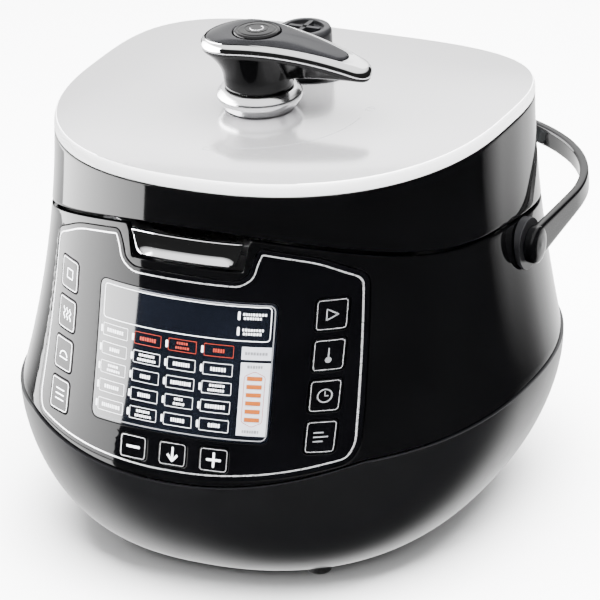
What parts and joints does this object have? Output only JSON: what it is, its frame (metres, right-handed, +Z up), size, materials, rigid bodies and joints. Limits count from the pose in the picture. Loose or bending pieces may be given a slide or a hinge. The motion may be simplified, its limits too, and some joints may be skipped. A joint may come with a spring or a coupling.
{
  "type": "electric pressure cooker",
  "caption": "Electric pressure cooker with a tapered oval housing, sloping keypad panel, hinged locking lid with a lever knob, a folding carry handle and an inner pot.",
  "frame": {"origin": "on the floor, at the middle of the footprint with the carry handle folded back", "axes": "+Z up, -Y towards the user (control panel side), +Y towards the lid hinge, +X to the user's right"},
  "size_m": [0.3348, 0.3891, 0.3308],
  "materials": {
    "gloss_black": "high gloss, clear-coated",
    "satin_black": "satin moulded",
    "dark_grey": "satin moulded",
    "silver_paint": "satin silver paint",
    "chrome": "polished plating",
    "steel": "fine brushed",
    "aluminium": "drawn, dull",
    "non_stick": "satin non-stick coating",
    "silicone": "matt translucent silicone",
    "rubber": "matt",
    "display": "polished smoked window",
    "circuit": "lacquered board",
    "clear_cup": "frosted translucent"
  },
  "bodies": {
    "housing": {"base_bowl": "satin_black", "base_plate": "dark_grey", "foot_rear_right": "rubber", "foot_rear_left": "rubber", "foot_front_left": "rubber", "foot_front_right": "rubber", "power_inlet": "satin_black", "body_shell": "gloss_black", "top_deck": "satin_black", "panel_fascia": "gloss_black", "display_window": "display", "outer_pot": "aluminium", "inner_pot": "non_stick", "heater_plate": "aluminium", "support_ring": "steel", "control_board": "circuit", "power_board": "circuit", "hinge_bracket": "satin_black", "hinge_pin": "steel", "handle_lug_right": "satin_black", "handle_lug_left": "satin_black", "handle_pin_right": "steel", "handle_pin_left": "steel", "sensor_spring": "steel"},
    "handle": {"carry_handle": "gloss_black"},
    "lid": {"lid_skirt": "gloss_black", "lid_top_cover": "silver_paint", "lid_liner": "satin_black", "lid_pull": "chrome", "pressure_plate": "steel", "inner_lid": "steel", "sealing_ring": "silicone", "hinge_arm_right": "satin_black", "hinge_arm_left": "satin_black", "valve_dish": "satin_black", "steam_pipe": "steel", "knob_collar": "chrome"},
    "knob": {"knob_base": "gloss_black", "knob_rim": "chrome", "knob_cover": "dark_grey", "knob_shaft": "steel", "locking_ring": "steel", "button_spring": "steel"},
    "release_button": {"steam_button": "satin_black"},
    "valve": {"pressure_valve": "satin_black"},
    "float": {"float_valve": "steel"},
    "thermostat": {"sensor": "aluminium"},
    "cup": {"condensate_cup": "clear_cup"},
    "button_left_1": {"button_left_1": "gloss_black"},
    "button_left_2": {"button_left_2": "gloss_black"},
    "button_left_3": {"button_left_3": "gloss_black"},
    "button_left_4": {"button_left_4": "gloss_black"},
    "button_right_1": {"button_right_1": "gloss_black"},
    "button_right_2": {"button_right_2": "gloss_black"},
    "button_right_3": {"button_right_3": "gloss_black"},
    "button_right_4": {"button_right_4": "gloss_black"},
    "button_minus": {"button_minus": "gloss_black"},
    "button_down": {"button_down": "gloss_black"},
    "button_plus": {"button_plus": "gloss_black"}
  },
  "joints": [
    {"name": "lid_hinge", "type": "hinge", "parent": "housing", "child": "lid", "pos_m": [0, 0.124, 0.214], "axis": [-1, 0, 0], "range_deg": [0, 68]},
    {"name": "handle_fold", "type": "hinge", "parent": "housing", "child": "handle", "pos_m": [0, 0.0205, 0.18], "axis": [-1, 0, 0], "range_deg": [-86, 0]},
    {"name": "knob_turn", "type": "hinge", "parent": "lid", "child": "knob", "pos_m": [0, -0.044, 0.3], "axis": [0, 0, 1], "range_deg": [-90, 0]},
    {"name": "release_press", "type": "slide", "parent": "knob", "child": "release_button", "axis": [0, 0, -1], "range_m": [0, 0.003], "stiffness_N_per_m": 500, "springref_m": -0.002, "deforming": ["button_spring"]},
    {"name": "valve_lift", "type": "slide", "parent": "lid", "child": "valve", "axis": [0, 0, 1], "range_m": [0, 0.003]},
    {"name": "float_rise", "type": "slide", "parent": "lid", "child": "float", "axis": [0, 0, 1], "range_m": [0, 0.004]},
    {"name": "thermostat_press", "type": "slide", "parent": "housing", "child": "thermostat", "axis": [0, 0, 1], "range_m": [-0.004, 0], "stiffness_N_per_m": 300, "springref_m": 0.003, "deforming": ["sensor_spring"]},
    {"name": "cup_pull", "type": "slide", "parent": "housing", "child": "cup", "axis": [0, 1, 0], "range_m": [0, 0.036]},
    {"name": "press_left_1", "type": "slide", "parent": "housing", "child": "button_left_1", "axis": [0.5426, 0.812, -0.2149], "range_m": [0, 0.0007], "stiffness_N_per_m": 500, "springref_m": -0.0005},
    {"name": "press_left_2", "type": "slide", "parent": "housing", "child": "button_left_2", "axis": [0.5237, 0.8148, -0.2489], "range_m": [0, 0.0007], "stiffness_N_per_m": 500, "springref_m": -0.0005},
    {"name": "press_left_3", "type": "slide", "parent": "housing", "child": "button_left_3", "axis": [0.494, 0.825, -0.2745], "range_m": [0, 0.0007], "stiffness_N_per_m": 500, "springref_m": -0.0005},
    {"name": "press_left_4", "type": "slide", "parent": "housing", "child": "button_left_4", "axis": [0.4489, 0.8427, -0.2972], "range_m": [0, 0.0007], "stiffness_N_per_m": 500, "springref_m": -0.0005},
    {"name": "press_right_1", "type": "slide", "parent": "housing", "child": "button_right_1", "axis": [-0.5749, 0.791, -0.2094], "range_m": [0, 0.0007], "stiffness_N_per_m": 500, "springref_m": -0.0005},
    {"name": "press_right_2", "type": "slide", "parent": "housing", "child": "button_right_2", "axis": [-0.5551, 0.7955, -0.243], "range_m": [0, 0.0007], "stiffness_N_per_m": 500, "springref_m": -0.0005},
    {"name": "press_right_3", "type": "slide", "parent": "housing", "child": "button_right_3", "axis": [-0.5245, 0.8079, -0.2688], "range_m": [0, 0.0007], "stiffness_N_per_m": 500, "springref_m": -0.0005},
    {"name": "press_right_4", "type": "slide", "parent": "housing", "child": "button_right_4", "axis": [-0.4779, 0.8284, -0.2922], "range_m": [0, 0.0007], "stiffness_N_per_m": 500, "springref_m": -0.0005},
    {"name": "press_minus", "type": "slide", "parent": "housing", "child": "button_minus", "axis": [0.0732, 0.9732, -0.2181], "range_m": [0, 0.0007], "stiffness_N_per_m": 500, "springref_m": -0.0005},
    {"name": "press_down", "type": "slide", "parent": "housing", "child": "button_down", "axis": [-0.0018, 0.9782, -0.2076], "range_m": [0, 0.0007], "stiffness_N_per_m": 500, "springref_m": -0.0005},
    {"name": "press_plus", "type": "slide", "parent": "housing", "child": "button_plus", "axis": [-0.0896, 0.9719, -0.2178], "range_m": [0, 0.0007], "stiffness_N_per_m": 500, "springref_m": -0.0005}
  ]
}
